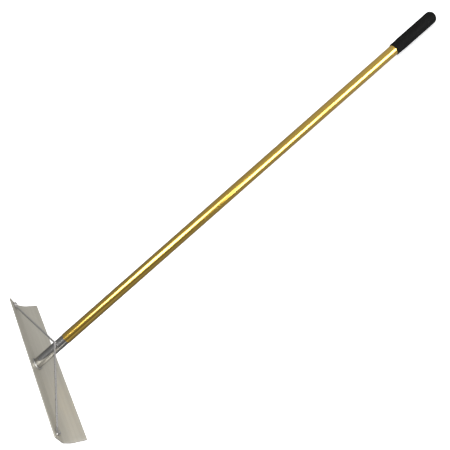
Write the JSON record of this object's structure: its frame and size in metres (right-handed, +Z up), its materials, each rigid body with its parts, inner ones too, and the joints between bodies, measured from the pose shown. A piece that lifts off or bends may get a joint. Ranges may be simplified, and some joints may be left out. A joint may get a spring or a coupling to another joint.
{
  "type": "concrete placer rake",
  "caption": "Long-handled rake with a bent aluminium blade, a bent-rod brace, a polished socket, a gold anodised tube and a black rubber grip.",
  "frame": {"origin": "on the floor under the middle of the blade's working edge, with the tool lying as it is put down, on that edge and on the grip's end", "axes": "+X along the blade, +Y from the grip towards the blade, level with the floor, +Z up, with the flange and brace on top"},
  "size_m": [0.4952, 1.4133, 0.0916],
  "materials": {
    "blade_aluminium": "mill-finish sheet, satin, faint lengthwise streaks",
    "polished_aluminium": "polished",
    "gold_anodised_tube": "gold anodised, bright drawn",
    "black_rubber": "matte, finely textured",
    "zinc_plated_steel": "zinc plated, fairly bright",
    "rivet_aluminium": "plain, satin"
  },
  "bodies": {
    "root": {"blade": "blade_aluminium", "socket": "polished_aluminium", "foot_weld": "polished_aluminium", "handle_tube": "gold_anodised_tube", "grip": "black_rubber", "brace_rod": "zinc_plated_steel", "brace_weld_front": "polished_aluminium", "brace_weld_rear": "polished_aluminium", "brace_bolt_left": "zinc_plated_steel", "brace_nut_left": "zinc_plated_steel", "brace_bolt_right": "zinc_plated_steel", "brace_nut_right": "zinc_plated_steel", "tube_rivet_front": "rivet_aluminium", "tube_rivet_rear": "rivet_aluminium"}
  },
  "joints": []
}
